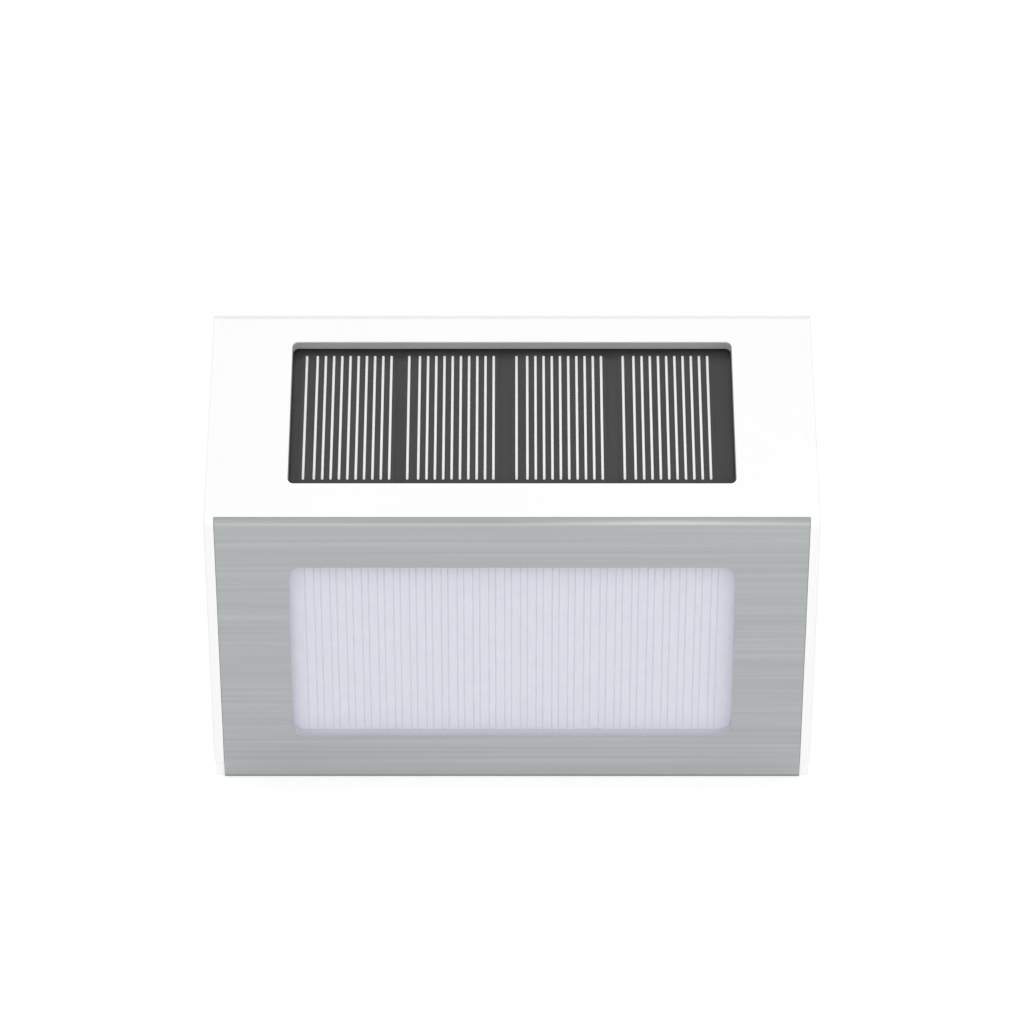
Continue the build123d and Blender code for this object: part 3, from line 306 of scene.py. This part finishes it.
def frosted_lens():
    """Frosted diffuser: pale lavender plastic, fine irregular grain, painted shade on its walls."""
    m = Material("frosted_lens")
    grain = m.noise(m.scaled(2300), 3.0, 0.6)
    cloud = m.noise(m.scaled(420), 2.0)
    tone = m.remap(m.weighted((grain, 0.65), (cloud, 0.35)), 0.35, 0.65)
    face = m.blend(tone, (0.655, 0.655, 0.735), (0.70, 0.70, 0.78))
    # painted shade: the walls between the lens's face and its rim are painted greyer
    wall = m.remap(m.axes()["Y"], LENS_FACE - 0.05 * MM, LENS_FACE - 0.3 * MM)
    return m.finish(
        Base_Color=m.blend(wall, face, (0.55, 0.55, 0.632)),
        Roughness=m.remap(grain, 0.3, 0.7, 0.36, 0.5),
        Normal=m.bump(grain, 0.010 * MM),
        Subsurface_Weight=0.25,
        Subsurface_Scale=0.002,
        Subsurface_Radius=(0.8, 0.8, 1.0),
    )


def silicon():
    """Coated silicon: near black with a faint grain, smooth on top."""
    m = Material("silicon")
    grain = m.noise(m.scaled(2600), 4.0, 0.65)
    cloud = m.noise(m.scaled(160), 2.0)
    tone = m.remap(m.weighted((grain, 0.7), (cloud, 0.3)), 0.36, 0.64)
    return m.finish(
        Base_Color=m.blend(tone, (0.036, 0.036, 0.037), (0.046, 0.046, 0.047)),
        Roughness=m.remap(cloud, 0.3, 0.7, 0.18, 0.24),
    )


def clear_film():
    """Clear laminate over the cells, faintly smoky; the cells below it carry the gloss."""
    m = Material("clear_film")
    ripple = m.noise(m.scaled(600), 2.0)
    return m.finish(
        Base_Color=(0.0, 0.0, 0.0, 1.0),
        Roughness=m.remap(ripple, 0.3, 0.7, 0.10, 0.16),
        Alpha=0.03,
        Specular_IOR_Level=0.0,
    )


def green_board():
    """Circuit board: solder resist over rows of copper tracks."""
    m = Material("green_board")
    tracks = m.add("ShaderNodeTexBrick", {
        "Vector": m.scaled(1.0, turn=(math.pi / 2, 0.0, 0.0)),
        "Scale": 300.0,
        "Mortar Size": 0.12,
        "Brick Width": 1.4,
        "Row Height": 0.5,
    }, offset=0.5, squash=1.0).outputs["Fac"]
    weave = m.noise(m.scaled(1800), 2.0)
    resist = m.blend(m.remap(weave, 0.3, 0.7), (0.012, 0.10, 0.035), (0.02, 0.135, 0.05))
    return m.finish(
        Base_Color=m.blend(tracks, resist, (0.03, 0.20, 0.075)),
        Roughness=m.remap(weave, 0.3, 0.7, 0.25, 0.4),
        Normal=m.bump(tracks, 0.03 * MM),
    )


def lamp_epoxy():
    """Warm white lamp: pale yellow epoxy with a slight haze."""
    m = Material("lamp_epoxy")
    haze = m.noise(m.scaled(900), 2.0)
    return m.finish(
        Base_Color=m.blend(haze, (0.86, 0.80, 0.52), (0.93, 0.90, 0.70)),
        Roughness=m.remap(haze, 0.3, 0.7, 0.06, 0.14),
        Subsurface_Weight=0.3,
        Subsurface_Scale=0.001,
    )


def foam_tape():
    """Closed-cell foam tape: pale grey with small pores."""
    m = Material("foam_tape")
    cells = m.add("ShaderNodeTexVoronoi", {"Vector": m.scaled(4000), "Scale": 1.0})
    pores = cells.outputs["Distance"]
    return m.finish(
        Base_Color=m.blend(pores, (0.52, 0.52, 0.5), (0.7, 0.7, 0.68)),
        Normal=m.bump(pores, 0.03 * MM),
        Roughness=0.85,
    )


# slot: dark and light colour, roughness, and the grain's size and depth in mm
MOULDED = {
    "white_abs": (grey(0.885), grey(0.9)),
    "grey_rubber": (grey(0.41), grey(0.45), (0.6, 0.75), 0.2),
    "black_rubber": (grey(0.022), grey(0.035), (0.65, 0.8), 0.2),
    "finger_silver": (grey(0.9), grey(0.96), (0.4, 0.55), 0.08, 0.002),
    "panel_board": (grey(0.038), grey(0.044), (0.18, 0.24), 0.25, 0.0),
    "black_abs": (grey(0.018), grey(0.028), (0.42, 0.55)),
    "reflector_white": ((0.86, 0.86, 0.85), (0.89, 0.89, 0.88), (0.15, 0.22), 0.5, 0.001),
    "battery_sleeve": ((0.05, 0.16, 0.10), (0.06, 0.19, 0.12), (0.2, 0.3), 0.6, 0.001),
    "ferrite": ((0.05, 0.05, 0.052), (0.075, 0.075, 0.078), (0.5, 0.7), 0.15, 0.01),
    "chip_black": (grey(0.022), grey(0.03), (0.55, 0.7), 0.1),
    "capacitor_sleeve": ((0.03, 0.035, 0.07), (0.04, 0.045, 0.085), (0.25, 0.35), 0.6, 0.001),
    "knob_black": (grey(0.02), grey(0.03), (0.45, 0.6), 0.2),
    "lead_insulation": ((0.30, 0.02, 0.02), (0.38, 0.03, 0.03), (0.4, 0.55), 0.3, 0.002),
}
# slot: dark and light colour, and roughness
PLAIN_STEEL = {
    "screw_steel": ((0.50, 0.50, 0.49), (0.62, 0.62, 0.61), (0.25, 0.4)),
    "nickel": ((0.60, 0.58, 0.53), (0.70, 0.68, 0.63), (0.18, 0.3)),
    "spring_steel": ((0.58, 0.58, 0.57), (0.68, 0.68, 0.67), (0.15, 0.28)),
    "switch_metal": ((0.52, 0.52, 0.50), (0.62, 0.62, 0.60), (0.28, 0.42)),
}

# each record slot's material
materials = {
    "brushed_steel": brushed_steel(),
    "frosted_lens": frosted_lens(),
    "tape": foam_tape(),
    "clear_film": clear_film(),
    "silicon": silicon(),
    "green_board": green_board(),
    "lamp_epoxy": lamp_epoxy(),
}
materials.update((slot, moulded(slot, *look)) for slot, look in MOULDED.items())
materials.update((slot, plain_steel(slot, *look)) for slot, look in PLAIN_STEEL.items())

for row in frame["record"]["subparts"]:
    cad = nodes[row["node"]]
    cad.data.materials.clear()
    cad.data.materials.append(materials[row["material_slot"]])


# ---------------------------------------------------------------- pieces
def from_shape(name, shape):
    """A bmesh as an object in the scene."""
    bmesh.ops.recalc_face_normals(shape, faces=shape.faces)
    mesh = bpy.data.meshes.new(name)
    shape.to_mesh(mesh)
    shape.free()
    made = bpy.data.objects.new(name, mesh)
    scene.collection.objects.link(made)
    return made


def dressed(piece, body, slot, replaced):
    """Finish a piece: smooth faces between sharp edges, its slot's material and body; hide its CAD
    node.
    """
    mesh = piece.data
    mesh.polygons.foreach_set("use_smooth", [True] * len(mesh.polygons))
    mesh.set_sharp_from_angle(angle=SHARP_ANGLE)
    mesh.materials.clear()
    mesh.materials.append(materials[slot])
    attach(piece, body)
    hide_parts(replaced)


def carve(piece, cutter):
    """Cut one object out of another, and keep only the result."""
    modifier = piece.modifiers.new("carve", "BOOLEAN")
    modifier.operation = "DIFFERENCE"
    modifier.solver = "EXACT"
    modifier.object = cutter
    seen = piece.evaluated_get(bpy.context.evaluated_depsgraph_get())
    carved = bpy.data.meshes.new_from_object(seen)
    piece.modifiers.clear()
    piece.data = carved
    bpy.data.objects.remove(cutter)


def corners_of(points):
    """The lowest and the highest corner of the box around some points."""
    sides = list(zip(*points))
    return Vector([min(side) for side in sides]), Vector([max(side) for side in sides])


def solids_of(node, axes):
    """Each separate solid of a node as its lowest and highest corner along axes, left to right."""
    shape = bmesh.new()
    shape.from_mesh(nodes[node].data)
    bmesh.ops.remove_doubles(shape, verts=shape.verts, dist=SAME_POINT)
    seen = set()
    boxes = []
    for start in shape.verts:
        if start in seen:
            continue
        seen.add(start)
        group, edge = [], [start]
        while edge:
            vert = edge.pop()
            group.append(axes @ vert.co)
            for link in vert.link_edges:
                other = link.other_vert(vert)
                if other not in seen:
                    seen.add(other)
                    edge.append(other)
        boxes.append(corners_of(group))
    shape.free()
    return sorted(boxes, key=lambda corners: tuple(corners[0]))


def ring(shape, outline, height):
    """A closed loop of vertices over (across, up) points of the slope, at a height out of it."""
    back = SLOPE_AXES.transposed()
    return [shape.verts.new(back @ Vector((x, v, height))) for x, v in outline]


def rounded_outline(low, high, radius, steps, inset=0.0):
    """Points of a rectangle with round corners, drawn in by inset."""
    points = []
    radius = radius - inset
    centres = (
        (high.x - inset - radius, high.y - inset - radius),
        (low.x + inset + radius, high.y - inset - radius),
        (low.x + inset + radius, low.y + inset + radius),
        (high.x - inset - radius, low.y + inset + radius),
    )
    for quarter, (x, v) in enumerate(centres):
        for k in range(steps + 1):
            angle = (quarter + k / steps) * math.pi / 2
            points.append((x + radius * math.cos(angle), v + radius * math.sin(angle)))
    return points


def stacked(shape, rings):
    """Walls between rings of vertices, closed by a face at the first and the last."""
    for lower, upper in zip(rings, rings[1:]):
        count = len(lower)
        for k in range(count):
            after = (k + 1) % count
            shape.faces.new((lower[k], lower[after], upper[after], upper[k]))
    shape.faces.new(rings[0][::-1])
    shape.faces.new(rings[-1])


def build_film():
    """The laminate with its edges rounded over, its underside clear of the printed lines."""
    (low, high), = solids_of("solar_laminate", SLOPE_AXES)
    thickness = high.z - low.z
    # height above the laminate's underside, and how far the outline is drawn in there
    levels = ((FILM_LIFT, 0.0), (thickness - FILM_EDGE, 0.0), (thickness, FILM_EDGE))
    shape = bmesh.new()
    stacked(shape, [
        ring(shape, rounded_outline(low, high, FILM_CORNER, FILM_CORNER_STEPS, inset), low.z + rise)
        for rise, inset in levels
    ])
    dressed(from_shape("film", shape), "light", "clear_film", "solar_laminate")


def build_printed_lines():
    """Screen-printed lines: round ends, and shoulders that slope up from the cell."""
    # share of the line's height, and how far the outline is drawn in there
    levels = ((0.0, 0.0), (0.6, LINE_SHOULDER * 0.35), (1.0, LINE_SHOULDER))
    shape = bmesh.new()
    for low, high in solids_of("cell_fingers", SLOPE_AXES):
        radius = (high.x - low.x) / 2
        stacked(shape, [
            ring(
                shape,
                rounded_outline(low, high, radius, LINE_END_STEPS, inset),
                low.z + rise * (high.z - low.z),
            )
            for rise, inset in levels
        ])
    dressed(from_shape("printed_lines", shape), "light", "finger_silver", "cell_fingers")


def turned(shape, centre, profile):
    """A round solid square to the wall over a screw's profile; centre is its outer end."""
    turns = [2 * math.pi * k / SCREW_SIDES for k in range(SCREW_SIDES)]
    rings = []
    for radius, depth in profile:
        points = [(radius * math.cos(t), -depth, radius * math.sin(t)) for t in turns]
        rings.append([shape.verts.new(centre + MM * Vector(point)) for point in points])
    stacked(shape, rings)


def blade(shape, centre, mouth, floor, depth, upright):
    """One arm of a cross recess, narrowing with depth."""
    rings = []
    for (length, width), level in ((mouth, CUTTER_PROUD), (floor, -depth)):
        corners = [(-length, -width), (length, -width), (length, width), (-length, width)]
        corners = [(z, x) if upright else (x, z) for x, z in corners]
        rings.append([shape.verts.new(centre + MM * Vector((x, level, z))) for x, z in corners])
    stacked(shape, rings)


def build_screws(name, node, body, screw):
    """A node's screws with turned heads and cross recesses, their heads towards the wall."""
    ends = []
    for low, high in solids_of(node, Matrix.Identity(3)):
        ends.append(Vector(((low.x + high.x) / 2, high.y, (low.z + high.z) / 2)))
    shape = bmesh.new()
    for end in ends:
        turned(shape, end, screw["profile"])
    piece = from_shape(name, shape)
    for upright in (False, True):
        shape = bmesh.new()
        for end in ends:
            blade(shape, end, screw["mouth"], screw["floor"], screw["depth"], upright)
        carve(piece, from_shape("cutter", shape))
    dressed(piece, body, "screw_steel", node)


build_film()
build_printed_lines()
build_screws("cover_screw_set", "cover_screws", "light", COVER_SCREW)
build_screws("door_screw_set", "door_screws", "battery_door", DOOR_SCREW)


# ---------------------------------------------------------------- floor, world, lights and camera
def white_for_camera(t):
    """1 where the camera, a reflection or a transmitted ray looks, and 0 for other light."""
    path = t.add("ShaderNodeLightPath").outputs
    seen = t.math("MAXIMUM", path["Is Camera Ray"], path["Is Glossy Ray"])
    return t.math("MAXIMUM", seen, path["Is Transmission Ray"])


def build_world():
    """Even ambient light, with plain white behind everything."""
    world = bpy.data.worlds.new("studio")
    scene.world = world
    t = Tree(world)
    ambient = t.add("ShaderNodeBackground", {"Color": WHITE, "Strength": AMBIENT})
    white = t.add("ShaderNodeBackground", {"Color": WHITE, "Strength": 1.0})
    both = t.mix_shaders(white_for_camera(t), ambient, white)
    t.add("ShaderNodeOutputWorld", {0: both.outputs[0]})


def floor_material():
    """Pale, with a glow of its own for what the camera sees, and clear from below."""
    material = bpy.data.materials.new("floor")
    t = Tree(material)
    place = t.add("ShaderNodeTexCoord").outputs["Object"]
    reach = t.add("ShaderNodeVectorMath", {0: place}, operation="LENGTH").outputs["Value"]
    strength = t.math("MULTIPLY", white_for_camera(t), t.remap(reach, *FLOOR_REACH, *FLOOR_GLOW))
    lit = t.add("ShaderNodeBsdfDiffuse", {"Color": FLOOR_COLOUR})
    glow = t.add("ShaderNodeEmission", {"Color": WHITE, "Strength": strength})
    above = t.add("ShaderNodeAddShader", {0: lit.outputs[0], 1: glow.outputs[0]})
    below = t.add("ShaderNodeBsdfTransparent")
    backfacing = t.add("ShaderNodeNewGeometry").outputs["Backfacing"]
    both = t.mix_shaders(backfacing, above, below)
    t.add("ShaderNodeOutputMaterial", {0: both.outputs[0]})
    return material


def build_floor():
    """A wide pale floor under the base; its own glow keeps it near white around a soft shadow.

    The glow is a little stronger far off, where the lamps don't reach.
    It is open from below, so that the switch and the base can be looked at, and it takes no light
    from the object, which stands as on a light table.
    """
    mesh = bpy.data.meshes.new("floor")
    shape = bmesh.new()
    bmesh.ops.create_grid(shape, x_segments=1, y_segments=1, size=FLOOR_HALF)
    shape.to_mesh(mesh)
    shape.free()
    mesh.materials.append(floor_material())
    floor = bpy.data.objects.new("floor", mesh)
    floor.location = (0.0, 0.0, cad_low.z - FLOOR_GAP)
    floor.visible_diffuse = False
    floor.visible_shadow = False
    scene.collection.objects.link(floor)


def area_lamp(name, place, target, size, power, mirrored):
    """A soft rectangular lamp; mirrored shows it in metal and gloss."""
    data = bpy.data.lights.new(name, "AREA")
    data.shape = "RECTANGLE"
    data.size, data.size_y = size
    data.energy = power
    lamp = bpy.data.objects.new(name, data)
    lamp.visible_glossy = mirrored
    lamp.location = place
    lamp.rotation_euler = (Vector(target) - Vector(place)).to_track_quat("-Z", "Y").to_euler()
    scene.collection.objects.link(lamp)


def build_camera():
    """The photograph's camera: level across, looking down by its pitch."""
    data = bpy.data.cameras.new("camera")
    data.sensor_width = CAMERA_SENSOR
    data.lens = CAMERA_LENS
    data.clip_start = CAMERA_NEAR
    camera = bpy.data.objects.new("camera", data)
    camera.location = CAMERA_PLACE
    camera.rotation_euler = (math.pi / 2 - CAMERA_PITCH, 0.0, 0.0)
    scene.collection.objects.link(camera)
    scene.camera = camera


build_world()
build_floor()
for lamp_settings in LAMPS:
    area_lamp(*lamp_settings)
build_camera()
